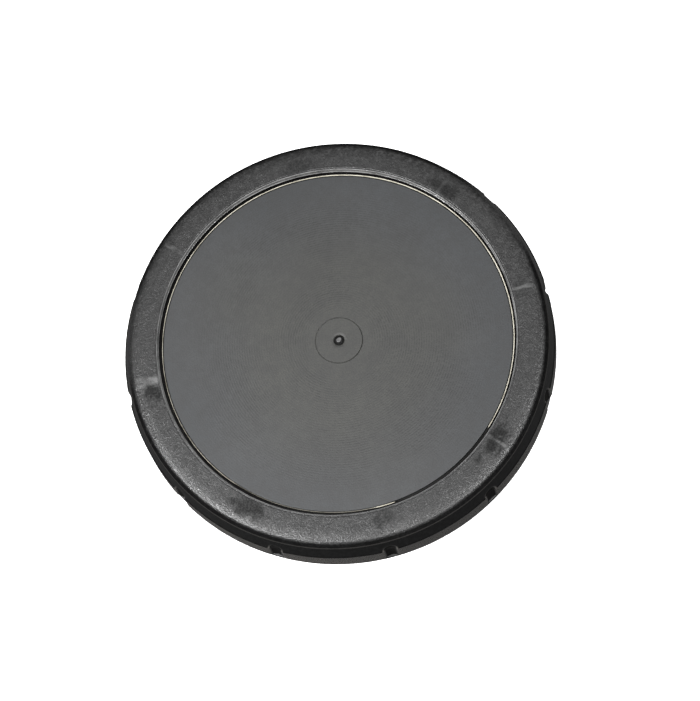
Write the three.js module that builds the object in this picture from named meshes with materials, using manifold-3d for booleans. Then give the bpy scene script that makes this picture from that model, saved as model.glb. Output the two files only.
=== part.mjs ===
// A rotary rock tumbler barrel: a moulded shell with a rubber liner, closed by a flat lid
// plate that a fluted screw ring draws down onto a gasket.
// Millimetres, +Z up along the barrel's axis, origin at the centre of the base.
import * as THREE from "three";
import { mergeVertices } from "three/addons/utils/BufferGeometryUtils.js";
import Module from "manifold-3d";

const wasm = await Module();
wasm.setup();

// ---------------------------------------------------------------- driving dimensions

const totalHeight = 120;
const capRadius = 100; // screw ring, at the foot of its skirt
const capHeight = 21;
const bodyRadius = 80; // shell, where it runs on the rollers
const wall = 3.5; // shell wall
const fit = 0.3; // gap between pieces that rest on each other
const segments = 60; // facets round every turned piece

// Screw ring, from its top face down.
const lipRadius = 82; // opening in the ring
const lipDepth = 4.6;
const lipLedge = { width: 0.3, depth: 2.2 }; // the opening is narrower below this depth
const faceEdgeRadius = 93.6;
const creaseRadius = 96.3;
const creaseDepth = 2.2;
const bandRadius = 99; // top of the plain band at the skirt's foot
const bandDepth = 10;
const ringBoreRadius = 94.5; // inside of the skirt, under the thread
const ringTurn = -4; // degrees that the tightened ring's first flute lies past +X

// Flutes in the skirt.
const fluteCount = 12;
const fluteWidth = 6.6;
const fluteDepth = 1.3;
const fluteTop = 6.4; // below the top face

// Screw thread, the same on neck and ring.
const threadStarts = 3;
const threadLead = 18;
const threadRootWidth = 2.2;
const threadCrestWidth = 1.3;
const threadPlay = 0.4; // between a ring ridge and the neck ridge above it
const neckThread = { depth: 2.2, sweep: 160 };
const ringThread = { depth: 2.6, sweep: 80 };
const threadMargin = 0.6; // from a ridge to the end of its wall

// Lid plate, seal, facing and gasket, from the ring's top face down.
const lidFaceRadius = 80.1;
const lidFaceDepth = 4.1;
const lidThickness = 4.6;
const lidFlangeRadius = 90;
const sealThickness = 0.8;
const sealEdge = { width: 0.4, rise: 0.2 }; // turned-up edge, seen round the lid
const gateCircle = { inner: 10.4, outer: 11.2, depth: 0.4 };
const gateNub = { radius: 2.6, height: 0.9 };
const gateOffset = [1.2, -0.7]; // of the gate's marks from the lid's centre
const facingRadius = 70.5;
const facingThickness = 3.5;
const gasketInnerRadius = 72;
const gasketThickness = 2.2;

// Shell and liner.
const neckRadius = 91.2; // root of the neck's thread
const neckWall = 4.7;
const neckLength = 22;
const neckFlange = { radius: 99.5, thickness: 2.6, drop: 1 }; // drop: below the skirt
const shoulderLength = 10;
const floorThickness = 4;
const foot = { inner: 60, outer: 70, height: 3 };
const linerSides = 10;
const linerFlatRadius = 69; // across the bore's flats, halved
const linerFloor = 5;
const linerMouthRadius = 73;
const linerMouthDepth = 8;

// Traction rings, each in its groove round the body.
const bandWidth = 12;
const bandHeights = [22, 60];
const grooveDepth = 1.4;
const bandProud = 1;

// ---------------------------------------------------------------- worked-out levels

const lipUnderside = totalHeight - lipDepth;
const lidTop = totalHeight - lidFaceDepth;
const sealTop = lipUnderside - fit;
const flangeTop = sealTop - sealThickness - fit;
const lidUnderside = lidTop - lidThickness;
const gasketTop = lidUnderside - fit;
const neckTop = gasketTop - gasketThickness - fit;
const shoulderTop = neckTop - neckLength;
const shoulderFoot = shoulderTop - shoulderLength;
const floorTop = foot.height + floorThickness;
const skirtFoot = totalHeight - capHeight;
const neckFlangeTop = skirtFoot - neckFlange.drop;
const neckBore = neckRadius - neckWall;
const bodyBore = bodyRadius - wall;

// Heights of the ridges' centre lines where they start, and how far round from +X the
// ring's ridge has to start to lie just under the neck's.
const climb = (sweep) => (threadLead * sweep) / 360;
const neckThreadFoot = neckTop - threadMargin - threadRootWidth / 2 - climb(neckThread.sweep);
const ringThreadFoot = skirtFoot + threadMargin + threadRootWidth / 2;
const ringThreadAngle =
  ((ringThreadFoot + threadRootWidth + threadPlay - neckThreadFoot) * 360) / threadLead;

// ---------------------------------------------------------------- shape helpers

const radians = THREE.MathUtils.degToRad;

// Points of an outline in the (radius, height) plane, counterclockwise. A corner is
// [radius, height] or [radius, height, rounding], rounding being the length it takes off.
function outline(corners) {
  const place = ([r, z]) => new THREE.Vector2(r, z);
  return corners.flatMap((corner, i) => {
    const rounding = corner[2] ?? 0;
    const here = place(corner);
    if (!rounding) return [here];
    const toward = (neighbour) =>
      place(neighbour).sub(here).setLength(rounding).add(here);
    const start = toward(corners.at(i - 1));
    const end = toward(corners[(i + 1) % corners.length]);
    return new THREE.QuadraticBezierCurve(start, here, end).getPoints(2);
  });
}

// A ring turned about Z from an outline that closes on itself.
function turnedRing(corners, sides = segments) {
  const points = outline(corners);
  return new THREE.LatheGeometry([...points, points[0]], sides).rotateX(Math.PI / 2);
}

// A disc turned about Z from an outline that starts and ends on the axis.
function turnedDisc(corners, sides = segments) {
  return new THREE.LatheGeometry(outline(corners), sides).rotateX(Math.PI / 2);
}

// Manifold solid of a closed geometry.
function solidOf(geometry) {
  const bare = geometry.clone();
  bare.deleteAttribute("normal");
  bare.deleteAttribute("uv");
  const merged = mergeVertices(bare, 1e-4);
  return new wasm.Manifold(
    new wasm.Mesh({
      numProp: 3,
      vertProperties: merged.attributes.position.array,
      triVerts: new Uint32Array(merged.index.array),
    }),
  );
}

// Geometry of a manifold solid, with flat facets.
function geometryOf(solid) {
  const { vertProperties, triVerts } = solid.getMesh();
  const shared = new THREE.BufferGeometry();
  shared.setAttribute("position", new THREE.BufferAttribute(vertProperties, 3));
  shared.setIndex(new THREE.BufferAttribute(triVerts, 1));
  const geometry = shared.toNonIndexed();
  geometry.computeVertexNormals();
  return geometry;
}

// Base solid with some geometries joined to it and others cut from it.
function combine(base, { joined = [], cut = [] }) {
  const sum = joined.reduce((solid, g) => solid.add(solidOf(g)), solidOf(base));
  return geometryOf(cut.reduce((solid, g) => solid.subtract(solidOf(g)), sum));
}

// Copies of one geometry, evenly spaced round Z.
function around(count, geometry) {
  return Array.from({ length: count }, (_, i) =>
    geometry.clone().rotateZ((i * 2 * Math.PI) / count),
  );
}

// One thread ridge: a straight bar of the ridge's section, bent round Z into a helix.
// It stands on a wall of the given radius, pointing outward (+1) or inward (-1), is
// rooted a little inside that wall, and sinks into it over its first and last tenth.
function threadRidge({ radius, direction, depth, sweep, foot }) {
  const root = threadRootWidth / 2;
  const crest = threadCrestWidth / 2;
  const buried = 0.8;
  const section = new THREE.Shape([
    new THREE.Vector2(-buried, -root),
    new THREE.Vector2(depth, -crest),
    new THREE.Vector2(depth, crest),
    new THREE.Vector2(-buried, root),
  ]);
  const steps = Math.round(sweep / 8);
  const bar = new THREE.ExtrudeGeometry(section, { depth: 1, steps, bevelEnabled: false });
  const position = bar.getAttribute("position");
  for (let i = 0; i < position.count; i++) {
    const along = position.getZ(i);
    const angle = radians(sweep * along);
    const fade = Math.min(1, 10 * Math.min(along, 1 - along));
    const out = position.getX(i);
    const reach = out > 0 ? out * fade : out;
    const r = radius + direction * reach;
    const z = foot + position.getY(i) + climb(sweep * along);
    position.setXYZ(i, r * Math.cos(angle), r * Math.sin(angle), z);
  }
  // Bending outward turns the bar inside out, and bending inward turns it back.
  return direction > 0 ? flipped(bar) : bar;
}

// The same triangles, facing the other way.
function flipped(geometry) {
  const turned = geometry.index ? geometry.toNonIndexed() : geometry.clone();
  const position = turned.getAttribute("position");
  const first = new THREE.Vector3();
  const last = new THREE.Vector3();
  for (let i = 0; i < position.count; i += 3) {
    first.fromBufferAttribute(position, i);
    last.fromBufferAttribute(position, i + 2);
    position.setXYZ(i, ...last);
    position.setXYZ(i + 2, ...first);
  }
  return turned;
}

// ---------------------------------------------------------------- screw ring

// Capsule-shaped cutter for one flute at +X, leaning in with the skirt's wall, that opens
// to the flute's width at the wall.
function fluteCutter() {
  const half = fluteWidth / 2;
  const cutterRadius = (half ** 2 + fluteDepth ** 2) / (2 * fluteDepth);
  const wallAtTop = creaseRadius +
    ((bandRadius - creaseRadius) * (fluteTop - creaseDepth)) / (bandDepth - creaseDepth);
  const lean = Math.atan((capRadius - wallAtTop) / (capHeight - fluteTop));
  const length = 2 * capHeight;
  const cutter = new THREE.CapsuleGeometry(cutterRadius, length, 3, 14, 1);
  cutter.rotateX(Math.PI / 2);
  cutter.translate(0, 0, -length / 2 - half);
  cutter.rotateY(-lean);
  cutter.translate(wallAtTop - fluteDepth + cutterRadius, 0, totalHeight - fluteTop);
  return cutter;
}

function capRing() {
  const turned = turnedRing([
    [capRadius, skirtFoot],
    [bandRadius + 0.1, totalHeight - bandDepth],
    [bandRadius - 0.3, totalHeight - bandDepth + 0.4],
    [creaseRadius, totalHeight - creaseDepth],
    [faceEdgeRadius, totalHeight, 0.8],
    [lipRadius, totalHeight, 0.4],
    [lipRadius, totalHeight - lipLedge.depth],
    [lipRadius - lipLedge.width, totalHeight - lipLedge.depth],
    [lipRadius - lipLedge.width, lipUnderside],
    [lidFlangeRadius + 0.6, lipUnderside],
    [ringBoreRadius, lipUnderside - 5],
    [ringBoreRadius, skirtFoot],
  ]);
  const ridge = threadRidge({
    ...ringThread,
    radius: ringBoreRadius,
    direction: -1,
    foot: ringThreadFoot,
  });
  ridge.rotateZ(radians(ringThreadAngle - ringTurn));
  return combine(turned, {
    joined: around(threadStarts, ridge),
    cut: around(fluteCount, fluteCutter()),
  });
}

// ---------------------------------------------------------------- lid

function lidDisc() {
  const plate = turnedDisc([
    [0, lidUnderside],
    [lidFlangeRadius, lidUnderside],
    [lidFlangeRadius, flangeTop],
    [lidFaceRadius, flangeTop],
    [lidFaceRadius, lidTop],
    [0, lidTop],
  ]);
  const circle = turnedRing([
    [gateCircle.inner, lidTop - gateCircle.depth],
    [gateCircle.outer, lidTop - gateCircle.depth],
    [gateCircle.outer, lidTop + 1],
    [gateCircle.inner, lidTop + 1],
  ]);
  const nub = turnedDisc(
    [
      [0, lidTop - 1],
      [gateNub.radius, lidTop - 1],
      [gateNub.radius, lidTop + gateNub.height, 0.4],
      [0, lidTop + gateNub.height],
    ],
    24,
  );
  for (const mark of [circle, nub]) mark.translate(...gateOffset, 0);
  return combine(plate, { joined: [nub], cut: [circle] });
}

// Flat washer between lid and ring, its inner edge turned up round the lid's face.
function rimSeal() {
  const inner = lidFaceRadius + fit;
  return turnedRing([
    [inner, sealTop - sealThickness],
    [lidFlangeRadius - 1, sealTop - sealThickness],
    [lidFlangeRadius - 1, sealTop],
    [inner + sealEdge.width, sealTop],
    [inner + sealEdge.width, lidTop + sealEdge.rise],
    [inner, lidTop + sealEdge.rise],
  ]);
}

// Rubber disc bonded under the lid, inside the barrel's mouth.
function lidFacing() {
  const top = lidUnderside - fit;
  const turned = turnedDisc([
    [0, top - facingThickness],
    [facingRadius, top - facingThickness, 1],
    [facingRadius, top],
    [0, top],
  ]);
  return geometryOf(solidOf(turned));
}

// ---------------------------------------------------------------- barrel

function barrelShell() {
  const grooveRadius = bodyRadius - grooveDepth;
  const grooves = bandHeights.flatMap((height) => [
    [bodyRadius, height - bandWidth / 2 - fit],
    [grooveRadius, height - bandWidth / 2 - fit],
    [grooveRadius, height + bandWidth / 2 + fit],
    [bodyRadius, height + bandWidth / 2 + fit],
  ]);
  const turned = turnedDisc([
    [0, foot.height],
    [foot.inner, foot.height],
    [foot.inner, 0],
    [foot.outer, 0],
    [foot.outer, foot.height],
    [bodyRadius, foot.height, 4],
    ...grooves,
    [bodyRadius, shoulderFoot],
    [neckRadius, shoulderTop],
    [neckRadius, neckFlangeTop - neckFlange.thickness],
    [neckFlange.radius, neckFlangeTop - neckFlange.thickness],
    [neckFlange.radius, neckFlangeTop],
    [neckRadius, neckFlangeTop],
    [neckRadius, neckTop],
    [neckBore, neckTop],
    [neckBore, shoulderTop],
    [bodyBore, shoulderFoot],
    [bodyBore, floorTop],
    [0, floorTop],
  ]);
  const ridge = threadRidge({
    ...neckThread,
    radius: neckRadius,
    direction: 1,
    foot: neckThreadFoot,
  });
  return combine(turned, { joined: around(threadStarts, ridge) });
}

// Rubber lining with a many-sided bore, which lifts the charge as the barrel turns.
function barrelLiner() {
  const floor = floorTop + fit;
  const turned = turnedDisc([
    [0, floor],
    [bodyBore - fit, floor],
    [bodyBore - fit, shoulderFoot],
    [neckBore - fit, shoulderTop],
    [neckBore - fit, neckTop],
    [0, neckTop],
  ]);
  const boreCorner = linerFlatRadius / Math.cos(Math.PI / linerSides);
  const boreLength = totalHeight;
  const bore = new THREE.CylinderGeometry(boreCorner, boreCorner, boreLength, linerSides);
  bore.rotateX(Math.PI / 2);
  bore.translate(0, 0, floor + linerFloor + boreLength / 2);
  const mouth = turnedDisc([
    [0, neckTop - linerMouthDepth - 4],
    [linerFlatRadius, neckTop - linerMouthDepth - 4],
    [linerMouthRadius, neckTop - linerMouthDepth],
    [linerMouthRadius, totalHeight],
    [0, totalHeight],
  ]);
  return combine(turned, { cut: [bore, mouth] });
}

function mouthGasket() {
  return turnedRing([
    [gasketInnerRadius, gasketTop - gasketThickness],
    [neckRadius - 1.5, gasketTop - gasketThickness],
    [neckRadius - 1.5, gasketTop],
    [gasketInnerRadius, gasketTop],
  ]);
}

// Rubber traction ring with a crowned tread.
function driveBand(height) {
  const inner = bodyRadius - grooveDepth + fit;
  const outer = bodyRadius + bandProud;
  return turnedRing([
    [inner, height - bandWidth / 2],
    [outer, height - bandWidth / 2, 0.8],
    [outer, height + bandWidth / 2, 0.8],
    [inner, height + bandWidth / 2],
  ]);
}

// ---------------------------------------------------------------- materials

const material = (color, roughness) =>
  new THREE.MeshStandardMaterial({ color, roughness, metalness: 0, flatShading: true });

const blackPlastic = material(0x2b2b2a, 0.5);
const greyPlastic = material(0x646463, 0.55);
const blackRubber = material(0x1c1c1b, 0.85);
const creamRubber = material(0xd9d3c0, 0.6);

// ---------------------------------------------------------------- assembly

function named(name, geometry, look) {
  const mesh = new THREE.Mesh(geometry, look);
  mesh.name = name;
  return mesh;
}

const barrel = new THREE.Group().add(
  named("barrel_shell", barrelShell(), blackPlastic),
  named("barrel_liner", barrelLiner(), blackRubber),
  named("mouth_gasket", mouthGasket(), blackRubber),
  named("drive_band_lower", driveBand(bandHeights[0]), blackRubber),
  named("drive_band_upper", driveBand(bandHeights[1]), blackRubber),
);

const lid = new THREE.Group().add(
  named("lid_disc", lidDisc(), greyPlastic),
  named("lid_facing", lidFacing(), blackRubber),
  named("rim_seal", rimSeal(), creamRubber),
);

const ring = new THREE.Group().add(named("cap_ring", capRing(), blackPlastic));
ring.rotation.z = radians(ringTurn);

export default new THREE.Group().add(barrel, lid, ring);
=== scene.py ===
"""Looks of the rock tumbler barrel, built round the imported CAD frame."""
import math

import bmesh
import bpy
import numpy as np
from mathutils import Matrix, Vector


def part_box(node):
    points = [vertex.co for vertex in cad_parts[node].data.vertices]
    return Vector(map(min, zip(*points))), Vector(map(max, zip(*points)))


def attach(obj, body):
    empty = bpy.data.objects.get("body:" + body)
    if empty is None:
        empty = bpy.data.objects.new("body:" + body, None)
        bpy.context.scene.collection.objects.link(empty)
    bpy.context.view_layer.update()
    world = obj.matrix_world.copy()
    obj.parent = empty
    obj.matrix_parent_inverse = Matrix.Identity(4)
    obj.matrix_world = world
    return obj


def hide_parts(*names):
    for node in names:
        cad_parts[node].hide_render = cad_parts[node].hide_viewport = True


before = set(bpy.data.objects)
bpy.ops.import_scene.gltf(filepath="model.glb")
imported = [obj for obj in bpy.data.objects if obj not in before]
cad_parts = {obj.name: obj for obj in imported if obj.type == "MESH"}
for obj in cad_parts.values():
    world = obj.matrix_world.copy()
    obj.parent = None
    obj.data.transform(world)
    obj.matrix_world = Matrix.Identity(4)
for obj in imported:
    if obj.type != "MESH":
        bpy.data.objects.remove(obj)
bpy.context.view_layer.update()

MM = 0.001
TAU = 2 * math.pi

# ------------------------------------------------------------------ levels, from the frame

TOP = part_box("cap_ring")[1].z
SKIRT_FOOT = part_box("cap_ring")[0].z
CAP_RADIUS = 100 * MM
SEAL_EDGE_RISE = 0.2 * MM  # how far the seal's edge stands above the lid's face
LID_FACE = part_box("rim_seal")[1].z - SEAL_EDGE_RISE
LID_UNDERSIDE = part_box("lid_disc")[0].z
SEAL_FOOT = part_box("rim_seal")[0].z
SEAL_TOP = SEAL_FOOT + 0.5 * MM
FLANGE_TOP = SEAL_FOOT - 0.3 * MM
FACING_FOOT, FACING_TOP = (corner.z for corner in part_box("lid_facing"))
GASKET_FOOT, GASKET_TOP = (corner.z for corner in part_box("mouth_gasket"))
NECK_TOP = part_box("barrel_shell")[1].z
LINER_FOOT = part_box("barrel_liner")[0].z

# ------------------------------------------------------------------ radii and small sizes

LIP_RADIUS = 81.9 * MM
LIP_DEPTH = 4.6 * MM
LEDGE_RADIUS = 81.6 * MM
LEDGE_DEPTH = 2.2 * MM
LIP_PLAY = Vector((0.14, 0.26)) * MM  # of the opening from the ring's axis
FACE_EDGE_RADIUS = 93.8 * MM
CROWN_START = 88 * MM  # the face falls away outside this radius
CROWN_DROP = 0.5 * MM
CREASE_RADIUS = 96.3 * MM
CREASE_DEPTH = 2.2 * MM
OUTER_WALL = CREASE_RADIUS - 0.7 * MM  # beyond this radius a point is on the outer wall
BAND_RADIUS = 99 * MM
BAND_DEPTH = 10 * MM
RING_BORE = 94.5 * MM
RING_TURN = math.radians(-4)

FLUTES = 12
FLUTE_WIDTH = 6.6 * MM
FLUTE_DEPTH = 1.3 * MM
FLUTE_TOP = 6.4 * MM

BAND_LEAN = (CAP_RADIUS - BAND_RADIUS) / (TOP - BAND_DEPTH - SKIRT_FOOT)

# Flow marks in the ring's face, between the mould's gates. For each, its direction and half
# width in degrees, how dark its blotch and how pale its line are, from 0 to 1, and the line's
# width in degrees.
FLOW_MARKS = (
    (-53.0, 9.5, 1.0, 0.8, 0.9),
    (-93.5, 4, 0.6, 0.1, 0.6),
    (-134.5, 9, 0.8, 0.0, 0.6),
    (-181.5, 4.5, 1.0, 0.0, 0.6),
    (-185.6, 2, 0.0, 1.0, 2.0),
    (-228.7, 3, 0.4, 0.6, 0.8),
    (-275.5, 6, 0.7, 0.0, 0.6),
    (-322.7, 8, 1.0, 0.5, 0.9),
    (-364.0, 5, 0.5, 0.6, 0.8),
)

BLOTCH_RADIUS = 86.5 * MM  # where the marks' blotches have their middle
BLOTCH_REACH = 5.5 * MM  # how far they reach in and out from there

THREAD_STARTS = 3
THREAD_LEAD = 18 * MM
THREAD_ROOT = 2.2 * MM
THREAD_CREST = 1.3 * MM
THREAD_MARGIN = 0.6 * MM
NECK_THREAD_DEPTH = 2.2 * MM
NECK_THREAD_SWEEP = math.radians(160)
RING_THREAD_DEPTH = 2.6 * MM
RING_THREAD_SWEEP = math.radians(80)
THREAD_PLAY = 0.4 * MM

LID_RADIUS = 79.95 * MM
LID_FLANGE_RADIUS = 89.8 * MM
LID_ROW_PITCH = 1.12 * MM
GATE_CIRCLE_RADIUS = 10.8 * MM
GATE_GROOVE_WAY = math.radians(-29)  # the circle is cut deepest on this side
GATE_NUB_RADIUS = 2.6 * MM
GATE_OFFSET = Vector((1.2, -0.7, 0)) * MM  # of the gate's marks from the barrel's axis
LID_PLAY = Vector((0.32, 0.48, 0)) * MM  # how far off the axis the loose lid and seal lie
SEAL_GAP = 0.3 * MM  # between the lid and the seal
SEAL_EDGE = 0.36 * MM  # mean thickness of the turned-up edge
SEAL_STRETCH = 0.11 * MM  # how much thicker it is on the +X side, and thinner opposite
SEAL_TUCK_INWARD = 0.2 * MM  # how far the edge leans in where it has slipped down

# Stretches where the seal's edge has slipped down beside the lid: direction and half width in
# degrees, and how far down in millimetres.
SEAL_TUCKS = ((-69.7, 21, 2.0), (-118.7, 27, 0.55))

FACING_RADIUS = 70.5 * MM
GASKET_INNER = 72 * MM
GASKET_OUTER = 89.7 * MM

BODY_RADIUS = 80 * MM
BODY_BORE = 76.5 * MM
NECK_RADIUS = 91.2 * MM
NECK_BORE = 86.5 * MM
NECK_FLANGE_RADIUS = 99.5 * MM
NECK_FLANGE_TOP = SKIRT_FOOT - 1 * MM
NECK_FLANGE_FOOT = NECK_FLANGE_TOP - 2.6 * MM
SHOULDER_TOP = NECK_TOP - 22 * MM
SHOULDER_FOOT = SHOULDER_TOP - 10 * MM
FOOT_INNER, FOOT_OUTER, FOOT_HEIGHT = 60 * MM, 70 * MM, 3 * MM
SHELL_FLOOR_TOP = 7 * MM
LINER_SIDES = 10
LINER_FLAT = 69 * MM
LINER_FLOOR_TOP = LINER_FOOT + 5 * MM
LINER_MOUTH = 73 * MM
LINER_MOUTH_DEPTH = 12 * MM
GROOVE_DEPTH = 1.4 * MM

# ------------------------------------------------------------------ camera

# The view is the photograph's: 18 degrees off the barrel's axis from the -Y side, with the
# picture rolled so that -Y points down and a little to the right.
TILT = math.radians(17.97)
ROLL = math.radians(18.7)
DISTANCE = 722 * MM
AIM_RIGHT, AIM_DOWN = -6.36 * MM, -4.95 * MM  # where the lid's centre lies off the lens axis
LENS = 81.5


def make_camera():
    c, s = math.cos(ROLL), math.sin(ROLL)
    right = Vector((c, -s * math.cos(TILT), -s * math.sin(TILT)))
    down = Vector((-s, -c * math.cos(TILT), -c * math.sin(TILT)))
    ahead = Vector((0, math.sin(TILT), -math.cos(TILT)))
    data = bpy.data.cameras.new("camera")
    data.lens = LENS
    data.sensor_width = 36
    data.clip_start, data.clip_end = 0.05, 30
    camera = bpy.data.objects.new("camera", data)
    turn = Matrix((right, -down, -ahead)).transposed().to_4x4()
    spot = Vector((0, 0, LID_FACE)) - right * AIM_RIGHT - down * AIM_DOWN - ahead * DISTANCE
    camera.matrix_world = Matrix.Translation(spot) @ turn
    bpy.context.collection.objects.link(camera)
    bpy.context.scene.camera = camera


# ------------------------------------------------------------------ floor and light

def make_stage(look):
    """A round floor that curves up into a wall, so that every view ends on it."""
    flat, curve, height = 1.6, 0.8, 4.0
    sweep = [
        (flat + curve * math.sin(a), curve * (1 - math.cos(a)))
        for a in np.linspace(0, math.pi / 2, 12)
    ]
    profile = [(0, 0), (0.4, 0), (1.0, 0)] + sweep + [(flat + curve, height)]
    cyc = turned("studio_floor", profile[::-1], 96, closed=False)
    cyc.data.materials.append(look)
    cyc.visible_diffuse = False
    cyc.visible_glossy = False
    cyc.visible_shadow = False


# Name, azimuth and elevation in degrees, distance and side in metres, power in watts.
LIGHTS = (
    ("softbox_over", 90, 70, 1.5, 0.5, 0.9),
    ("softbox_left", -168, 58, 1.4, 0.32, 26.0),
    ("softbox_right", -38, 62, 1.4, 0.36, 11.0),
    ("softbox_near", -100, 60, 1.4, 0.4, 2.5),
    ("softbox_low_right", 35, 12, 1.4, 0.5, 0.5),
    ("softbox_low_left", 145, 12, 1.4, 0.5, 0.5),
)


def make_light(name, azimuth, elevation, distance, size, power):
    """A square softbox that faces the object from a direction, azimuth from +X."""
    data = bpy.data.lights.new(name, "AREA")
    data.shape = "SQUARE"
    data.size = size
    data.energy = power
    light = bpy.data.objects.new(name, data)
    a, e = math.radians(azimuth), math.radians(elevation)
    way = Vector((math.cos(e) * math.cos(a), math.cos(e) * math.sin(a), math.sin(e)))
    light.location = Vector((0, 0, TOP)) + way * distance
    light.rotation_mode = "QUATERNION"
    light.rotation_quaternion = way.to_track_quat("Z", "Y")
    bpy.context.collection.objects.link(light)


def make_world(overhead, horizon, below):
    """Soft surroundings: a broad panel overhead, dark walls and a dim floor."""
    world = bpy.data.worlds.new("studio")
    world.use_nodes = True
    nodes, links = world.node_tree.nodes, world.node_tree.links
    split = nodes.new("ShaderNodeSeparateXYZ")
    links.new(nodes.new("ShaderNodeTexCoord").outputs["Generated"], split.inputs[0])
    ramp = nodes.new("ShaderNodeFloatCurve")
    curve = ramp.mapping.curves[0]
    curve.points[0].location = (0, below)
    curve.points[1].location = (1, overhead)
    curve.points.new(0.5, horizon)
    curve.points.new(0.80, horizon * 1.5)
    curve.points.new(0.87, overhead * 0.9)
    ramp.mapping.update()
    halved = nodes.new("ShaderNodeMath")
    halved.operation = "MULTIPLY_ADD"
    halved.inputs[1].default_value = 0.5
    halved.inputs[2].default_value = 0.5
    links.new(split.outputs["Z"], halved.inputs[0])
    links.new(halved.outputs[0], ramp.inputs["Value"])
    nodes["Background"].inputs["Color"].default_value = (1, 1, 1, 1)
    links.new(ramp.outputs[0], nodes["Background"].inputs["Strength"])
    bpy.context.scene.world = world


# ------------------------------------------------------------------ turned meshes

def rounded(corners, closed=True, steps=5):
    """Outline through corners (r, z) or (r, z, radius), with a true arc at each radius."""
    points = []
    for i, corner in enumerate(corners):
        here = Vector(corner[:2])
        radius = corner[2] if len(corner) > 2 else 0
        if not radius or (not closed and i in (0, len(corners) - 1)):
            points.append(here)
            continue
        back = (Vector(corners[i - 1][:2]) - here).normalized()
        on = (Vector(corners[(i + 1) % len(corners)][:2]) - here).normalized()
        half = math.acos(max(-1, min(1, back.dot(on)))) / 2
        centre = here + (back + on).normalized() * (radius / math.sin(half))
        start = here + back * (radius / math.tan(half)) - centre
        end = here + on * (radius / math.tan(half)) - centre
        sweep = start.angle_signed(end)
        for k in range(steps + 1):
            points.append(centre + Matrix.Rotation(-sweep * k / steps, 2) @ start)
    return [tuple(p) for p in points]


def refined(points, step, low, high, least_radius=0.0, closed=True):
    """The same outline with no edge longer than step between two heights."""
    fine = []
    count = len(points)
    for i, (r, z) in enumerate(points):
        fine.append((r, z))
        if not closed and i == count - 1:
            break
        r2, z2 = points[(i + 1) % count]
        inside = low <= min(z, z2) and max(z, z2) <= high and min(r, r2) >= least_radius
        parts = math.ceil(math.hypot(r2 - r, z2 - z) / step) if inside else 1
        fine += [
            (r + (r2 - r) * k / parts, z + (z2 - z) * k / parts) for k in range(1, parts)
        ]
    return fine


def turned(name, outline, angles, shape=None, closed=True):
    """Mesh turned about Z from an outline that runs counterclockwise in (r, z).

    angles is a count, or the list of angles. shape(r, z, angle) moves a point. An outline
    that isn't closed starts and ends on the axis or at an open edge.
    """
    if isinstance(angles, int):
        angles = np.arange(angles) * TAU / angles
    rows = np.array(outline)
    r, a = np.meshgrid(rows[:, 0], angles, indexing="ij")
    z = np.meshgrid(rows[:, 1], angles, indexing="ij")[0]
    if shape:
        r, z = shape(r, z, a)
    ring = np.stack([r * np.cos(a), r * np.sin(a), z], axis=-1)
    n, m = ring.shape[:2]
    index = np.arange(n * m).reshape(n, m)
    poles = [i for i in (0, n - 1) if not closed and rows[i, 0] == 0]
    for i in poles:
        index[i] = index[i, 0]
    faces = []
    for i in range(n if closed else n - 1):
        low, high = index[i], index[(i + 1) % n]
        for j in range(m):
            k = (j + 1) % m
            corners = [low[j], low[k], high[k], high[j]]
            faces.append([c for x, c in enumerate(corners) if c not in corners[:x]])
    mesh = bpy.data.meshes.new(name)
    mesh.from_pydata(ring.reshape(-1, 3).tolist(), [], [[int(c) for c in f] for f in faces])
    obj = bpy.data.objects.new(name, mesh)
    bpy.context.collection.objects.link(obj)
    remove_loose(mesh)
    mesh.shade_smooth()
    mesh.set_sharp_from_angle(angle=math.radians(35))
    return obj


def remove_loose(mesh):
    """Deletes the points that a pole left unused."""
    work = bmesh.new()
    work.from_mesh(mesh)
    loose = [v for v in work.verts if not v.link_faces]
    bmesh.ops.delete(work, geom=loose, context="VERTS")
    work.to_mesh(mesh)
    work.free()


def place(piece, body, node, slot, look):
    """Gives a piece its look and its body, and hides the CAD node that it stands for. slot is not
    used.
    """
    piece.data.materials.append(look)
    even = piece.modifiers.new("even_normals", "WEIGHTED_NORMAL")
    even.keep_sharp = True
    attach(piece, body)
    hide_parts(node)


def thread_rise(angle, z, foot, sweep, first_angle):
    """Height of a multi-start thread's ridge over a wall, from 0 to 1."""
    rise = np.zeros_like(z)
    for start in range(THREAD_STARTS):
        for lap in (-1, 0, 1):
            along = angle - first_angle - start * TAU / THREAD_STARTS + lap * TAU
            centre = foot + THREAD_LEAD * along / TAU
            off = np.abs(z - centre)
            flank = (THREAD_ROOT / 2 - off) / ((THREAD_ROOT - THREAD_CREST) / 2)
            ends = np.minimum(along, sweep - along) / (0.1 * sweep)
            rise = np.maximum(rise, smooth(flank) * smooth(ends))
    return rise


def smooth(x):
    x = np.clip(x, 0, 1)
    return x * x * (3 - 2 * x)


# ------------------------------------------------------------------ node trees

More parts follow.
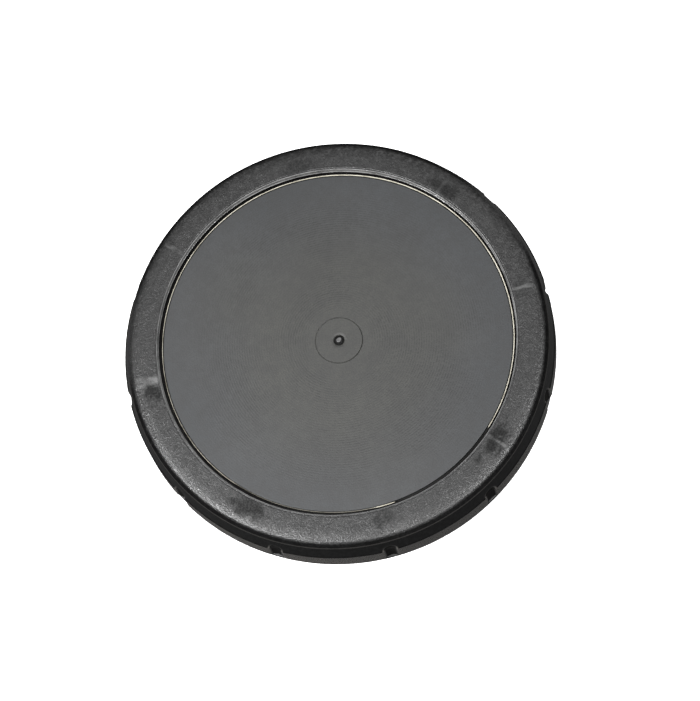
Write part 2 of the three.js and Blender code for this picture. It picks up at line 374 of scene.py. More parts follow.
class Look:
    """One material's node tree, with short calls for the nodes that it uses."""

    def __init__(self, name):
        self.material = bpy.data.materials.new(name)
        self.material.use_nodes = True
        self.nodes = self.material.node_tree.nodes
        self.links = self.material.node_tree.links
        self.shader = self.nodes["Principled BSDF"]
        self.place = self.nodes.new("ShaderNodeTexCoord").outputs["Object"]

    def feed(self, socket, value):
        if isinstance(value, bpy.types.NodeSocket):
            self.links.new(value, socket)
        else:
            socket.default_value = value

    def math(self, operation, *values, clamp=False):
        node = self.nodes.new("ShaderNodeMath")
        node.operation = operation
        node.use_clamp = clamp
        for socket, value in zip(node.inputs, values):
            self.feed(socket, value)
        return node.outputs[0]

    def span(self, value, low, high, to_low=0.0, to_high=1.0, kind="SMOOTHSTEP"):
        """Maps low..high to to_low..to_high, held at both ends."""
        node = self.nodes.new("ShaderNodeMapRange")
        node.interpolation_type = kind
        self.feed(node.inputs["Value"], value)
        self.feed(node.inputs["From Min"], low)
        self.feed(node.inputs["From Max"], high)
        self.feed(node.inputs["To Min"], to_low)
        self.feed(node.inputs["To Max"], to_high)
        return node.outputs[0]

    def noise(self, scale, detail=2.0, rough=0.5, place=None, seed=0.0):
        """Noise from 0 to 1; scale is in features per metre."""
        node = self.nodes.new("ShaderNodeTexNoise")
        node.noise_dimensions = "4D"
        self.feed(node.inputs["Vector"], place or self.place)
        node.inputs["W"].default_value = seed
        node.inputs["Scale"].default_value = scale
        node.inputs["Detail"].default_value = detail
        node.inputs["Roughness"].default_value = rough
        return node.outputs["Fac"]

    def scaled(self, vector, factors):
        node = self.nodes.new("ShaderNodeVectorMath")
        node.operation = "MULTIPLY"
        self.feed(node.inputs[0], vector)
        node.inputs[1].default_value = factors
        return node.outputs[0]

    def polar(self):
        """Radius, angle and height of the shaded point, about the barrel's axis."""
        split = self.nodes.new("ShaderNodeSeparateXYZ")
        self.feed(split.inputs[0], self.place)
        x, y, z = split.outputs
        return self.length(x, y), self.math("ARCTAN2", y, x), z

    def length(self, x, y):
        return self.math("SQRT", self.math("MULTIPLY_ADD", x, x, self.math("MULTIPLY", y, y)))

    def angle_from(self, angle, direction):
        """How far an angle lies from a direction, either way round."""
        turned_by = self.math("SUBTRACT", angle, direction)
        return self.math("ABSOLUTE", self.math("WRAP", turned_by, math.pi, -math.pi))

    def joined(self, x, y, z):
        node = self.nodes.new("ShaderNodeCombineXYZ")
        for socket, value in zip(node.inputs, (x, y, z)):
            self.feed(socket, value)
        return node.outputs[0]

    def mix(self, factor, a, b):
        node = self.nodes.new("ShaderNodeMix")
        node.data_type = "RGBA"
        self.feed(node.inputs["Factor"], factor)
        self.feed(node.inputs["A"], a)
        self.feed(node.inputs["B"], b)
        return node.outputs["Result"]

    def colour(self, value):
        self.feed(self.shader.inputs["Base Color"], value)

    def roughness(self, value):
        self.feed(self.shader.inputs["Roughness"], value)

    def bump(self, height, depth):
        """Adds a height field, depth metres from its 0 to its 1."""
        node = self.nodes.new("ShaderNodeBump")
        node.inputs["Distance"].default_value = depth
        self.feed(node.inputs["Height"], height)
        before = self.shader.inputs["Normal"].links
        if before:
            self.feed(node.inputs["Normal"], before[0].from_socket)
        self.feed(self.shader.inputs["Normal"], node.outputs["Normal"])


def grey(value, warm=0.0, green=0.0):
    """Linear grey, tinted towards yellow by a positive warmth and towards green."""
    return (value * (1 + warm), value * (1 + green), value * (1 - warm), 1)


def ring_look():
    """Black moulded plastic of the screw ring, with radial flow marks on its top face."""
    look = Look("ring_moulded_black")
    radius, angle, height = look.polar()
    lip_way = look.math("SUBTRACT", angle, math.atan2(LIP_PLAY.y, LIP_PLAY.x))
    from_lip = look.math("SUBTRACT", look.math("SUBTRACT", radius, LIP_RADIUS),
                         look.math("MULTIPLY", look.math("COSINE", lip_way), LIP_PLAY.length))

    cloud = look.noise(45, detail=4, rough=0.6, seed=1.3)
    grain = look.noise(1250, detail=3, rough=0.7, seed=4.1)
    mottle = look.noise(420, detail=4, rough=0.7, seed=7.7)
    on_face = look.math(
        "MULTIPLY",
        look.span(from_lip, 0, 1.5 * MM),
        look.span(radius, FACE_EDGE_RADIUS - 3 * MM, FACE_EDGE_RADIUS, 1, 0),
    )

    # Where the melt met round the face: a pale line between two dull, dark blotches.
    wobble = look.math("SUBTRACT", look.noise(120, detail=3, seed=2.2), 0.5)
    shifted = look.math("ADD", angle, look.math("MULTIPLY", wobble, math.radians(3)))
    patchy = look.noise(170, detail=5, rough=0.7, seed=5.9)
    across = look.math("DIVIDE", look.math("SUBTRACT", radius, BLOTCH_RADIUS), BLOTCH_REACH)
    ragged = look.span(patchy, 0.2, 0.8, -0.75, 0.75, kind="LINEAR")
    blotch, line = 0.0, 0.0
    for where, half, dark, pale, width in FLOW_MARKS:
        off = look.angle_from(shifted, math.radians(where))
        reach = look.length(look.math("DIVIDE", off, math.radians(half)), across)
        near = look.span(look.math("ADD", reach, ragged), 0.35, 1.05, dark, 0)
        thin = look.span(off, math.radians(0.2 * width), math.radians(width), pale, 0)
        blotch = look.math("MAXIMUM", blotch, near)
        line = look.math("MAXIMUM", line, thin)
    blotch = look.math("MULTIPLY", blotch, on_face)
    line = look.math("MULTIPLY", look.math("MULTIPLY", line, on_face),
                     look.span(patchy, 0.42, 0.6, 1, 0.15))

    # Edges of the opening, painted pale: a painted highlight, in patches like wear from handling.
    above_ledge = look.math("ADD", look.math("SUBTRACT", height, TOP), LEDGE_DEPTH)
    top_edge = look.math("MULTIPLY", look.span(from_lip, 0.1 * MM, 0.45 * MM, 1, 0),
                         look.span(height, TOP - 0.6 * MM, TOP - 0.3 * MM))
    ledge_edge = look.math("MULTIPLY", look.span(from_lip, 0, 0.1 * MM, 1, 0),
                           look.span(above_ledge, -0.3 * MM, -0.1 * MM))
    lip_sheen_and_wear = look.math("MULTIPLY", look.math("MAXIMUM", top_edge, ledge_edge),
                       look.span(look.noise(90, detail=4, rough=0.7, seed=9.4), 0.35, 0.6, 0.4, 1))

    # The plain band at the skirt's foot, and the flutes cut through it.
    below = look.math("SUBTRACT", TOP - BAND_DEPTH, height)
    band_wall = look.math("MULTIPLY_ADD", below, BAND_LEAN, BAND_RADIUS)
    depth = look.math("SUBTRACT", band_wall, radius)
    band = look.math("MULTIPLY", look.span(below, -0.1 * MM, 0.2 * MM),
                     look.span(depth, 0.15 * MM, 0.45 * MM, 1, 0))
    pitch = TAU / FLUTES
    turn = look.math("DIVIDE", look.math("SUBTRACT", angle, RING_TURN), pitch)
    off = look.math("MULTIPLY", look.math("SUBTRACT", turn, look.math("ROUND", turn)), pitch)
    side = look.math("MULTIPLY", off, radius)
    above = look.math("MAXIMUM", look.math("SUBTRACT", height,
                                           TOP - FLUTE_TOP - FLUTE_WIDTH / 2), 0.0)
    reach = look.length(side, above)
    half = FLUTE_WIDTH / 2
    below_crease = look.math("SUBTRACT", TOP - CREASE_DEPTH, height)
    on_wall = look.span(below_crease, 0.2 * MM, 0.8 * MM)
    flute_rim_highlight = look.math("SUBTRACT", 1.0, look.span(
        look.math("ABSOLUTE", look.math("SUBTRACT", reach, half - 0.2 * MM)),
        0.15 * MM, 0.6 * MM), clamp=True)
    flute_rim_highlight = look.math("MULTIPLY", flute_rim_highlight, on_wall)
    flute_core_shade = look.math("MULTIPLY", look.span(reach, half - 1.3 * MM, half - 0.5 * MM, 1, 0), on_wall)
    from_crease = look.math("ABSOLUTE", look.math("SUBTRACT", below_crease, 0.1 * MM))
    crease_highlight = look.math("MULTIPLY", look.span(from_crease, 0.1 * MM, 0.4 * MM, 1, 0),
                       look.span(radius, CREASE_RADIUS - 0.5 * MM, CREASE_RADIUS - 0.2 * MM))

    base = look.mix(cloud, grey(0.010, -0.02), grey(0.016, 0.02))
    base = look.mix(look.span(mottle, 0.39, 0.61, 0, 0.8), base, grey(0.044))
    base = look.mix(look.span(grain, 0.43, 0.57, 0.85, 0), base, grey(0.002))
    # Below the face the sloping walls are painted darker: painted shade.
    on_top = look.span(height, TOP - 1.3 * MM, TOP - 0.8 * MM)
    base = look.mix(on_top, look.mix(0.8, base, grey(0.003)), base)
    base = look.mix(look.math("MULTIPLY", blotch, 0.95), base, grey(0.002))
    # Painted highlight along the edges of the opening.
    base = look.mix(lip_sheen_and_wear, base, grey(0.21))
    base = look.mix(look.math("MULTIPLY", line, 0.8), base, grey(0.13))
    # A pale line painted along the crease between slope and wall: a painted highlight.
    base = look.mix(look.math("MULTIPLY", crease_highlight, 0.4), base, grey(0.06, 0.05))
    # The band is painted paler, in patches: a painted reflection of the floor, which it faces at a
    # grazing angle.
    scuffs_and_sheen = look.mix(look.span(mottle, 0.35, 0.65), grey(0.070, 0.05), grey(0.115, 0.06))
    base = look.mix(look.math("MULTIPLY", band, 0.95), base, scuffs_and_sheen)
    # Pale rims painted round the flutes: a painted highlight on their edges.
    base = look.mix(look.math("MULTIPLY", flute_rim_highlight, 0.7), base, grey(0.10, 0.06))
    # Painted shade in the cores of the flutes.
    base = look.mix(flute_core_shade, base, grey(0.004))
    look.colour(base)
    calm = look.math("MULTIPLY_ADD", on_top, 0.65, 0.35)  # the sloping walls are smoother
    rough = look.span(mottle, 0.35, 0.65, 0.32, 0.20)
    rough = look.math("ADD", rough, look.span(grain, 0.42, 0.58, 0.22, 0))
    rough = look.math("MULTIPLY", rough, look.math("MULTIPLY_ADD", on_top, 0.5, 0.5))
    shine_start = FACE_EDGE_RADIUS - 2.8 * MM
    edge_shine = look.span(radius, shine_start, shine_start + 1.5 * MM, 0, 0.07)
    rough = look.math("SUBTRACT", rough, edge_shine)
    rough = look.math("ADD", rough, look.math("MULTIPLY", blotch, 0.5))
    rough = look.math("ADD", rough, look.math("MULTIPLY", band, 0.2))
    look.roughness(rough)
    look.bump(look.math("MULTIPLY", look.math("SUBTRACT", grain, 0.5), calm), 0.20 * MM)
    look.bump(look.math("MULTIPLY", look.math("SUBTRACT", mottle, 0.5), calm), 0.17 * MM)
    look.bump(line, 0.05 * MM)
    return look.material


def flute_shade_look():
    """Near-black and matt at the bottom of the ring's flutes: painted shade."""
    look = Look("ring_flute_shade")
    cloud = look.noise(300, detail=4, rough=0.6, seed=6.2)
    look.colour(look.mix(cloud, grey(0.004), grey(0.014, 0.04)))
    look.roughness(look.span(cloud, 0.3, 0.7, 0.6, 0.8))
    look.shader.inputs["Specular IOR Level"].default_value = 0.12
    look.bump(look.noise(1250, detail=3, seed=4.1), 0.06 * MM)
    return look.material


def lid_look():
    """Dark grey satin plastic with fine rows of dots turned round the gate's marks."""
    look = Look("lid_turned_grey")
    radius = look.polar()[0]
    split = look.nodes.new("ShaderNodeSeparateXYZ")
    look.feed(split.inputs[0], look.place)
    x = look.math("SUBTRACT", split.outputs["X"], GATE_OFFSET.x)
    y = look.math("SUBTRACT", split.outputs["Y"], GATE_OFFSET.y)
    reach, angle = look.length(x, y), look.math("ARCTAN2", y, x)

    wander = look.math("MULTIPLY", look.noise(60, detail=2, seed=1.7), 0.5)
    row = look.math("ADD", look.math("DIVIDE", reach, LID_ROW_PITCH), wander)
    nearest = look.math("ROUND", row)
    off = look.math("ABSOLUTE", look.math("SUBTRACT", row, nearest))
    dots = look.noise(1.0, detail=1, place=look.joined(
        look.math("MULTIPLY", nearest, 7.31),
        look.math("DIVIDE", look.math("MULTIPLY", angle, reach), 0.9 * LID_ROW_PITCH),
        0.0), seed=3.0)
    patch = look.span(look.noise(26, detail=3, seed=8.2), 0.38, 0.62, 0.3, 1)
    dotted = look.math("MULTIPLY", look.span(off, 0.12, 0.4, 1, 0),
                       look.span(dots, 0.42, 0.58, 0.25, 1))
    fading = look.math("MULTIPLY", look.span(reach, 58 * MM, 74 * MM, 1, 0.3),
                       look.span(reach, GATE_CIRCLE_RADIUS, 2 * GATE_CIRCLE_RADIUS, 0.1, 1))
    dotted = look.math("MULTIPLY", look.math("MULTIPLY", dotted, patch), fading)

    cloud = look.noise(30, detail=5, rough=0.55, seed=2.7)
    fine = look.noise(1500, detail=3, seed=6.4)
    smears = look.noise(150, detail=6, rough=0.85, seed=4.9)
    broad = look.noise(22, detail=1, seed=6.6)
    drift = look.math("MULTIPLY_ADD", look.noise(14, detail=2, seed=7.3), 60 * MM, -30 * MM)
    outward = look.math("ADD", radius, drift)
    warm = look.mix(cloud, grey(0.033, 0.04, 0.05), grey(0.044, 0.05, 0.06))
    cool = look.mix(cloud, grey(0.033, -0.06), grey(0.044, -0.05))
    base = look.mix(look.span(outward, 35 * MM, 75 * MM), warm, cool)
    base = look.mix(look.span(outward, 66 * MM, 84 * MM, 0, 0.6), base, grey(0.028, -0.12))
    base = look.mix(look.span(broad, 0.35, 0.65, 0.25, 0), base, grey(0.024))
    base = look.mix(look.span(smears, 0.42, 0.58, 0.42, 0), base, grey(0.024))
    base = look.mix(look.span(fine, 0.43, 0.57, 0.35, 0), base, grey(0.02))
    base = look.mix(look.math("MULTIPLY", dotted, 0.48), base, grey(0.006))
    look.colour(base)
    look.roughness(look.span(fine, 0.3, 0.7, 0.44, 0.54))
    look.bump(dotted, -0.02 * MM)
    look.bump(fine, 0.07 * MM)
    return look.material


def nub_look():
    """Gate nub of torn plastic: flanks painted dark as shade, and a painted highlight on top."""
    look = Look("gate_nub")
    height = look.polar()[2]
    # Painted highlight on the nub's top; the flanks are painted shade.
    torn = look.span(height, LID_FACE + 0.55 * MM, LID_FACE + 0.75 * MM)
    flank = look.mix(look.noise(700, seed=1.0), grey(0.003), grey(0.008))
    pale = look.mix(look.noise(900, seed=2.0), grey(0.04), grey(0.12))
    look.colour(look.mix(torn, flank, pale))
    look.roughness(look.span(look.noise(900, seed=5.0), 0.3, 0.7, 0.25, 0.4))
    look.bump(look.noise(800, detail=3, seed=9.0), 0.20 * MM)
    return look.material


def seal_look():
    """Cream natural rubber, painted near-black below the lid's face: painted shade in the gap
    beside the lid.
    """
    look = Look("seal_cream_rubber")
    height = look.polar()[2]
    stain = look.noise(60, detail=4, rough=0.7, seed=3.3)
    # Painted shade: the seal below the lid's face is made near-black.
    gap_shade = look.span(height, LID_FACE - 0.5 * MM, LID_FACE - 0.1 * MM, 1, 0)
    cream = look.mix(look.span(stain, 0.40, 0.7), (0.62, 0.59, 0.50, 1), (0.26, 0.24, 0.19, 1))
    look.colour(look.mix(gap_shade, cream, grey(0.003, 0.1)))
    look.shader.inputs["Specular IOR Level"].default_value = 0.2
    look.roughness(look.span(stain, 0.3, 0.7, 0.5, 0.7))
    look.bump(look.noise(1200, detail=2, seed=4.0), 0.04 * MM)
    return look.material


def shell_look():
    """Black moulded plastic of the drum, with scuff marks worn round it by the rollers."""
    look = Look("shell_moulded_black")
    radius, angle, height = look.polar()
    cloud = look.noise(40, detail=4, seed=1.9)
    around = look.joined(look.math("MULTIPLY", angle, 2.0), height, radius)
    stretched = look.scaled(around, (1.2, 1400, 60))
    scuff = look.noise(1.0, detail=4, rough=0.7, place=stretched, seed=5.5)
    on_body = look.span(radius, 79 * MM, 79.8 * MM)
    scuffs_and_sheen = look.math("MULTIPLY", look.span(scuff, 0.56, 0.72), on_body)
    grain = look.noise(1100, detail=3, seed=2.4)
    base = look.mix(cloud, grey(0.022), grey(0.032))
    look.colour(look.mix(look.math("MULTIPLY", scuffs_and_sheen, 0.45), base, grey(0.10, 0.02)))
    rough = look.span(grain, 0.3, 0.7, 0.36, 0.48)
    look.roughness(look.math("ADD", rough, look.math("MULTIPLY", scuffs_and_sheen, 0.2)))
    look.bump(grain, 0.03 * MM)
    look.bump(scuffs_and_sheen, -0.02 * MM)
    return look.material


def rubber_look(name, tone, dust, seed):
    """Matt black rubber with a little pale dust in its grain."""
    look = Look(name)
    cloud = look.noise(55, detail=4, rough=0.6, seed=seed)
    grain = look.noise(1300, detail=4, rough=0.6, seed=seed + 1)
    powder = look.math("MULTIPLY", look.span(cloud, 0.4, 0.75), look.span(grain, 0.45, 0.7))
    base = look.mix(cloud, grey(tone), grey(tone * 1.4))
    look.colour(look.mix(look.math("MULTIPLY", powder, dust), base, grey(0.22, 0.04)))
    look.roughness(look.span(grain, 0.3, 0.7, 0.68, 0.86))
    look.bump(grain, 0.06 * MM)
    look.bump(cloud, 0.10 * MM)
    return look.material


def floor_look():
    """White floor that glows by itself, as bright as the photo's blank ground."""
    look = Look("studio_white")
    look.colour((0.9, 0.9, 0.9, 1))
    look.roughness(0.9)
    look.shader.inputs["Specular IOR Level"].default_value = 0
    look.feed(look.shader.inputs["Emission Color"], (1, 1, 1, 1))
    look.feed(look.shader.inputs["Emission Strength"], 1.05)
    return look.material


# ------------------------------------------------------------------ screw ring

def flute_cut(r, z, angle):
    """How deep the flutes cut into the skirt's wall at a point."""
    half = FLUTE_WIDTH / 2
    cutter = (half ** 2 + FLUTE_DEPTH ** 2) / (2 * FLUTE_DEPTH)
    pitch = TAU / FLUTES
    off = (angle - RING_TURN + pitch / 2) % pitch - pitch / 2
    above = np.maximum(0, z - (TOP - FLUTE_TOP - half))
    rho2 = (off * r) ** 2 + above ** 2
    cut = np.sqrt(np.maximum(0, cutter ** 2 - rho2)) - (cutter - FLUTE_DEPTH)
    edge = 0.3 * MM  # rounding of the flute's edges
    return (cut + np.sqrt(cut ** 2 + edge ** 2)) / 2


def shape_ring(r, z, angle):
    """Cuts the flutes outside, raises the thread inside and sets the opening off the axis."""
    outside = (r > OUTER_WALL) & (z < TOP - CREASE_DEPTH - 0.2 * MM)
    cut = np.where(outside, flute_cut(r, z, angle), 0)
    neck_foot = NECK_TOP - THREAD_MARGIN - THREAD_ROOT / 2 - THREAD_LEAD * NECK_THREAD_SWEEP / TAU
    foot = SKIRT_FOOT + THREAD_MARGIN + THREAD_ROOT / 2
    first = (foot + THREAD_ROOT + THREAD_PLAY - neck_foot) * TAU / THREAD_LEAD
    rise = thread_rise(angle, z, foot, RING_THREAD_SWEEP, first)
    bore = (r <= RING_BORE + 1e-6) & (r > RING_BORE - 1 * MM)
    threaded = bore & (z > SKIRT_FOOT + 0.3 * MM) & (z < TOP - LIP_DEPTH)
    lip = smooth((CROWN_START - r) / (4 * MM)) * (z > TOP - LIP_DEPTH - 0.1 * MM)
    play = LIP_PLAY.x * np.cos(angle) + LIP_PLAY.y * np.sin(angle)
    return r - cut - np.where(threaded, rise * RING_THREAD_DEPTH, 0) + lip * play, z


def ring_angles():
    """Angles that crowd round each flute."""
    pitch, half = TAU / FLUTES, math.radians(2.7)
    fine = np.linspace(-half, half, 24, endpoint=False)
    coarse = np.linspace(half, pitch - half, 14, endpoint=False)
    one = np.concatenate([fine, coarse])
    return np.concatenate([one + k * pitch for k in range(FLUTES)]) + RING_TURN


def make_ring(look, flute):
    crown = [
        (FACE_EDGE_RADIUS + (CROWN_START - FACE_EDGE_RADIUS) * u, TOP - CROWN_DROP * (1 - u) ** 2)
        for u in np.linspace(0.25, 1, 10)
    ]
    corners = [
        (CAP_RADIUS, SKIRT_FOOT, 0.25 * MM),
        (BAND_RADIUS + 0.1 * MM, TOP - BAND_DEPTH, 0.25 * MM),
        (BAND_RADIUS - 0.3 * MM, TOP - BAND_DEPTH + 0.4 * MM, 0.25 * MM),
        (CREASE_RADIUS, TOP - CREASE_DEPTH, 0.7 * MM),
        (FACE_EDGE_RADIUS, TOP - CROWN_DROP, 3 * MM),
        *crown,
        (LIP_RADIUS + 1.1 * MM, TOP, 0.5 * MM),
        (LIP_RADIUS + 0.8 * MM, TOP - 0.15 * MM, 0.3 * MM),
        (LIP_RADIUS + 0.5 * MM, TOP, 0.2 * MM),
        (LIP_RADIUS, TOP, 0.4 * MM),
        (LIP_RADIUS, TOP - LEDGE_DEPTH, 0.08 * MM),
        (LEDGE_RADIUS, TOP - LEDGE_DEPTH, 0.25 * MM),
        (LEDGE_RADIUS, TOP - LIP_DEPTH, 0.3 * MM),
        (LID_FLANGE_RADIUS + 0.6 * MM, TOP - LIP_DEPTH, 0.4 * MM),
        (RING_BORE, TOP - LIP_DEPTH - 5 * MM, 0.8 * MM),
        (RING_BORE, SKIRT_FOOT, 0.5 * MM),
    ]
    outline = rounded(corners)
    outline = refined(outline, 0.35 * MM, SKIRT_FOOT, TOP - 2 * MM, 94 * MM)
    ring = turned("screw_ring", outline, ring_angles(), shape_ring)
    place(ring, "cap", "cap_ring", "ring_plastic", look)
    ring.data.materials.append(flute)
    # Faces deep in the flutes take the second material, painted shade.
    for face in ring.data.polygons:
        x, y, z = face.center
        reach = math.hypot(x, y)
        outside = reach > OUTER_WALL + 0.4 * MM and z < TOP - CREASE_DEPTH - 0.8 * MM
        if outside and flute_cut(reach, z, math.atan2(y, x)) > 0.55 * FLUTE_DEPTH:
            face.material_index = 1


# ------------------------------------------------------------------ lid

def shift_lid(mesh):
    """Moves the lid off the barrel's axis, and its middle as far as the gate's marks."""
    start, width = 15 * MM, 20 * MM  # of the zone where the one turns into the other
    for vertex in mesh.vertices:
        reach = math.hypot(vertex.co.x, vertex.co.y)
        outer = float(smooth((reach - start) / width))
        vertex.co += GATE_OFFSET * (1 - outer) + LID_PLAY * outer


def make_lid(look):
    groove = 0.25 * MM
    corners = [
        (0, LID_UNDERSIDE),
        (40 * MM, LID_UNDERSIDE),
        (LID_FLANGE_RADIUS, LID_UNDERSIDE, 0.5 * MM),
        (LID_FLANGE_RADIUS, FLANGE_TOP, 0.5 * MM),
        (LID_RADIUS, FLANGE_TOP, 0.15 * MM),
        (LID_RADIUS, LID_FACE, 0.35 * MM),
        (60 * MM, LID_FACE),
        (40 * MM, LID_FACE),
        (GATE_CIRCLE_RADIUS + groove, LID_FACE, 0.1 * MM),
        (GATE_CIRCLE_RADIUS, LID_FACE - 0.35 * MM),
        (GATE_CIRCLE_RADIUS - groove, LID_FACE + 0.03 * MM, 0.1 * MM),
        (GATE_NUB_RADIUS + 1 * MM, LID_FACE + 0.03 * MM, 0.8 * MM),
        (GATE_NUB_RADIUS, LID_FACE - 0.10 * MM, 0.1 * MM),
        (GATE_NUB_RADIUS * 0.92, LID_FACE - 0.6 * MM, 0.1 * MM),
        (0, LID_FACE - 0.6 * MM),
    ]

    def worn(r, z, angle):
        deep = 0.5 + 0.5 * np.cos(angle - GATE_GROOVE_WAY)
        in_groove = np.abs(r - GATE_CIRCLE_RADIUS) < 0.5 * groove
        return r, z + np.where(in_groove, 0.2 * MM * (1 - deep), 0)

    lid = turned("lid_plate", rounded(corners, closed=False), 288, worn, closed=False)
    shift_lid(lid.data)
    place(lid, "lid", "lid_disc", "grey_plastic", look)


def make_nub(look):
    """The broken-off gate at the lid's centre, standing in its small pit."""
    foot = LID_FACE - 0.5 * MM
    corners = [
        (0, foot - 0.5 * MM),
        (GATE_NUB_RADIUS * 0.90, foot - 0.5 * MM),
        (GATE_NUB_RADIUS * 0.86, LID_FACE - 0.2 * MM, 0.2 * MM),
        (GATE_NUB_RADIUS * 0.38, LID_FACE + 0.75 * MM, 0.15 * MM),
        (GATE_NUB_RADIUS * 0.2, LID_FACE + 0.8 * MM),
        (0, LID_FACE + 0.8 * MM),
    ]

    def torn(r, z, angle):
        up = np.clip((z - foot) / MM, 0, 1)
        lean = 0.12 * MM * np.sin(2 * angle + 0.6) + 0.08 * MM * np.sin(3 * angle)
        return r + lean * up * (r > 0), z

    nub = turned("gate_nub", rounded(corners, closed=False), 48, torn, closed=False)
    shift_lid(nub.data)
    nub.data.materials.append(look)
    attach(nub, "lid")


def make_facing(look):
    corners = [
        (0, FACING_FOOT),
        (30 * MM, FACING_FOOT),
        (60 * MM, FACING_FOOT),
        (FACING_RADIUS, FACING_FOOT, 1 * MM),
        (FACING_RADIUS, FACING_TOP, 0.2 * MM),
        (0, FACING_TOP),
    ]
    facing = turned("lid_facing_rubber", rounded(corners, closed=False), 192, closed=False)
    place(facing, "lid", "lid_facing", "liner_rubber", look)


def shape_seal(r, z, angle):
    """Stretches the turned-up edge, and tucks it down along some stretches."""
    up = (z > SEAL_TOP + 0.1 * MM).astype(float)
    outer = up * (r > LID_RADIUS + SEAL_GAP + 0.4 * SEAL_EDGE)
    drop, inward = np.zeros_like(r), np.zeros_like(r)
    for where, half, down in SEAL_TUCKS:
        off = np.abs((angle - math.radians(where) + math.pi) % TAU - math.pi)
        tuck = smooth((math.radians(half) - off) / math.radians(5))
        drop = np.maximum(drop, tuck * down * MM)
        inward = np.maximum(inward, tuck * SEAL_TUCK_INWARD)
    sunk = np.minimum(drop, z - SEAL_TOP - 0.15 * MM)
    return r - up * inward + outer * SEAL_STRETCH * np.cos(angle), z - up * sunk


def make_seal(look):
    inner = LID_RADIUS + SEAL_GAP
    corners = [
        (inner, SEAL_FOOT, 0.1 * MM),
        (LID_FLANGE_RADIUS - 1 * MM, SEAL_FOOT, 0.2 * MM),
        (LID_FLANGE_RADIUS - 1 * MM, SEAL_TOP, 0.2 * MM),
        (inner + SEAL_EDGE, SEAL_TOP, 0.05 * MM),
        (inner + SEAL_EDGE, LID_FACE + SEAL_EDGE_RISE, 0.15 * MM),
        (inner, LID_FACE + SEAL_EDGE_RISE, 0.15 * MM),
    ]
    seal = turned("rim_seal_washer", rounded(corners), 360, shape_seal)
    shift_lid(seal.data)
    place(seal, "lid", "rim_seal", "seal_rubber", look)


# ------------------------------------------------------------------ drum

def shape_neck(r, z, angle):
    foot = NECK_TOP - THREAD_MARGIN - THREAD_ROOT / 2 - THREAD_LEAD * NECK_THREAD_SWEEP / TAU
    rise = thread_rise(angle, z, foot, NECK_THREAD_SWEEP, 0.0)
    on_neck = (r > NECK_RADIUS - 0.05 * MM) & (z > NECK_FLANGE_TOP) & (z < NECK_TOP - 0.4 * MM)
    return r + np.where(on_neck, rise * NECK_THREAD_DEPTH, 0), z


def make_shell(look):
    grooves = []
    for node in ("drive_band_lower", "drive_band_upper"):
        low, high = (corner.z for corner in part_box(node))
        inner = BODY_RADIUS - GROOVE_DEPTH
        grooves += [
            (BODY_RADIUS, low - 0.3 * MM, 0.3 * MM),
            (inner, low - 0.3 * MM, 0.3 * MM),
            (inner, high + 0.3 * MM, 0.3 * MM),
            (BODY_RADIUS, high + 0.3 * MM, 0.3 * MM),
        ]
    corners = [
        (0, FOOT_HEIGHT),
        (20 * MM, FOOT_HEIGHT),
        (FOOT_INNER, FOOT_HEIGHT, 1.2 * MM),
        (FOOT_INNER, 0, 0.8 * MM),
        (FOOT_OUTER, 0, 0.8 * MM),
        (FOOT_OUTER, FOOT_HEIGHT, 1.0 * MM),
        (BODY_RADIUS, FOOT_HEIGHT, 4 * MM),
        *grooves,
        (BODY_RADIUS, SHOULDER_FOOT, 6 * MM),
        (NECK_RADIUS, SHOULDER_TOP, 4 * MM),
        (NECK_RADIUS, NECK_FLANGE_FOOT, 1 * MM),
        (NECK_FLANGE_RADIUS, NECK_FLANGE_FOOT, 0.6 * MM),
        (NECK_FLANGE_RADIUS, NECK_FLANGE_TOP, 0.6 * MM),
        (NECK_RADIUS, NECK_FLANGE_TOP, 0.5 * MM),
        (NECK_RADIUS, NECK_TOP, 0.6 * MM),
        (NECK_BORE, NECK_TOP, 0.6 * MM),
        (NECK_BORE, SHOULDER_TOP, 3 * MM),
        (BODY_BORE, SHOULDER_FOOT, 3 * MM),
        (BODY_BORE, SHELL_FLOOR_TOP, 2 * MM),
        (20 * MM, SHELL_FLOOR_TOP),
        (0, SHELL_FLOOR_TOP),
    ]
    outline = rounded(corners, closed=False)
    outline = refined(outline, 0.25 * MM, NECK_FLANGE_TOP, NECK_TOP, NECK_RADIUS - 0.1 * MM,
                      closed=False)
    shell = turned("drum_shell", outline, 288, shape_neck, closed=False)
    place(shell, "barrel", "barrel_shell", "black_plastic", look)


def shape_bore(r, z, angle):
    """Turns the round bore into a many-sided one with softened corners."""
    pitch = TAU / LINER_SIDES
    off = (angle + pitch / 2) % pitch - pitch / 2
    wide = 1 / np.cos(np.sqrt(off ** 2 + 1e-9))
    corner = 1 / math.cos(pitch / 2)
    sides = corner - (corner - wide) * smooth((pitch / 2 - np.abs(off)) / (0.02 * pitch) + 0.2)
    near_flat = np.abs(r - LINER_FLAT) < 3 * MM
    below_mouth = (z < NECK_TOP - LINER_MOUTH_DEPTH + 0.5 * MM) & (z > LINER_FLOOR_TOP - 0.1 * MM)
    return np.where(near_flat & below_mouth, r * sides, r), z


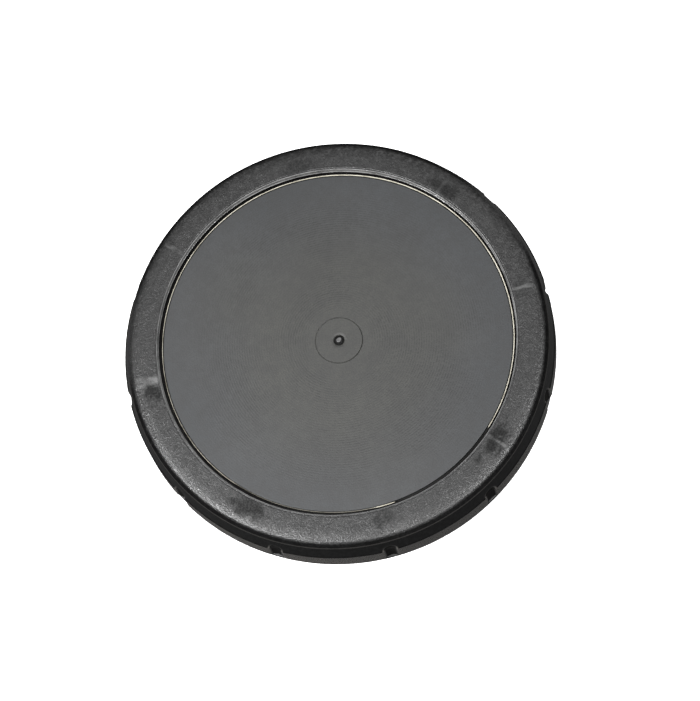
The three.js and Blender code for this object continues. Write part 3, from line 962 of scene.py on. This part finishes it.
def make_liner(look):
    corners = [
        (0, LINER_FOOT),
        (40 * MM, LINER_FOOT),
        (BODY_BORE - 0.3 * MM, LINER_FOOT, 2 * MM),
        (BODY_BORE - 0.3 * MM, SHOULDER_FOOT, 3 * MM),
        (NECK_BORE - 0.3 * MM, SHOULDER_TOP, 3 * MM),
        (NECK_BORE - 0.3 * MM, NECK_TOP, 0.5 * MM),
        (LINER_MOUTH, NECK_TOP, 1.2 * MM),
        (LINER_MOUTH, NECK_TOP - LINER_MOUTH_DEPTH + 4 * MM, 1.5 * MM),
        (LINER_FLAT, NECK_TOP - LINER_MOUTH_DEPTH, 1.0 * MM),
        (LINER_FLAT, LINER_FLOOR_TOP, 2.5 * MM),
        (50 * MM, LINER_FLOOR_TOP),
        (20 * MM, LINER_FLOOR_TOP),
        (0, LINER_FLOOR_TOP),
    ]
    outline = refined(rounded(corners, closed=False), 3 * MM, LINER_FOOT, NECK_TOP, closed=False)
    liner = turned("drum_liner", outline, 360, shape_bore, closed=False)
    place(liner, "barrel", "barrel_liner", "liner_rubber", look)


def make_gasket(look):
    corners = [
        (GASKET_INNER, GASKET_FOOT, 0.5 * MM),
        (GASKET_OUTER, GASKET_FOOT, 0.5 * MM),
        (GASKET_OUTER, GASKET_TOP, 0.5 * MM),
        (GASKET_OUTER - 4 * MM, GASKET_TOP, 0.2 * MM),
        (GASKET_OUTER - 4.6 * MM, GASKET_TOP - 0.4 * MM, 0.2 * MM),
        (GASKET_INNER + 6.6 * MM, GASKET_TOP - 0.4 * MM, 0.2 * MM),
        (GASKET_INNER + 6 * MM, GASKET_TOP, 0.2 * MM),
        (GASKET_INNER, GASKET_TOP, 0.5 * MM),
    ]
    gasket = turned("mouth_gasket_ring", rounded(corners), 288)
    place(gasket, "barrel", "mouth_gasket", "gasket_rubber", look)


def make_band(node, look):
    """Traction ring with fine ribs round its tread."""
    low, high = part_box(node)
    inner = BODY_RADIUS - GROOVE_DEPTH + 0.3 * MM
    outer = high.x
    corners = [(inner, low.z, 0.3 * MM), (outer, low.z, 0.7 * MM)]
    ribs = 5
    pitch = (high.z - low.z) / ribs
    for k in range(1, ribs):
        z = low.z + k * pitch
        corners += [
            (outer, z - 0.45 * MM, 0.15 * MM),
            (outer - 0.5 * MM, z, 0.15 * MM),
            (outer, z + 0.45 * MM, 0.15 * MM),
        ]
    corners += [(outer, high.z, 0.7 * MM), (inner, high.z, 0.3 * MM)]
    band = turned(node + "_rubber", rounded(corners, steps=3), 288)
    place(band, "barrel", node, "band_rubber", look)


# ------------------------------------------------------------------ scene

make_camera()
make_world(0.66, 0.03, 0.12)
make_stage(floor_look())
for light in LIGHTS:
    make_light(*light)

make_ring(ring_look(), flute_shade_look())
make_lid(lid_look())
make_nub(nub_look())
make_seal(seal_look())
make_facing(rubber_look("facing_rubber", 0.022, 0.2, 2.0))
make_shell(shell_look())
make_liner(rubber_look("liner_rubber", 0.018, 0.3, 5.0))
make_gasket(rubber_look("gasket_rubber", 0.016, 0.1, 8.0))
band_rubber = rubber_look("band_rubber", 0.020, 0.35, 11.0)
make_band("drive_band_lower", band_rubber)
make_band("drive_band_upper", band_rubber)

bpy.context.scene.view_settings.view_transform = "Standard"
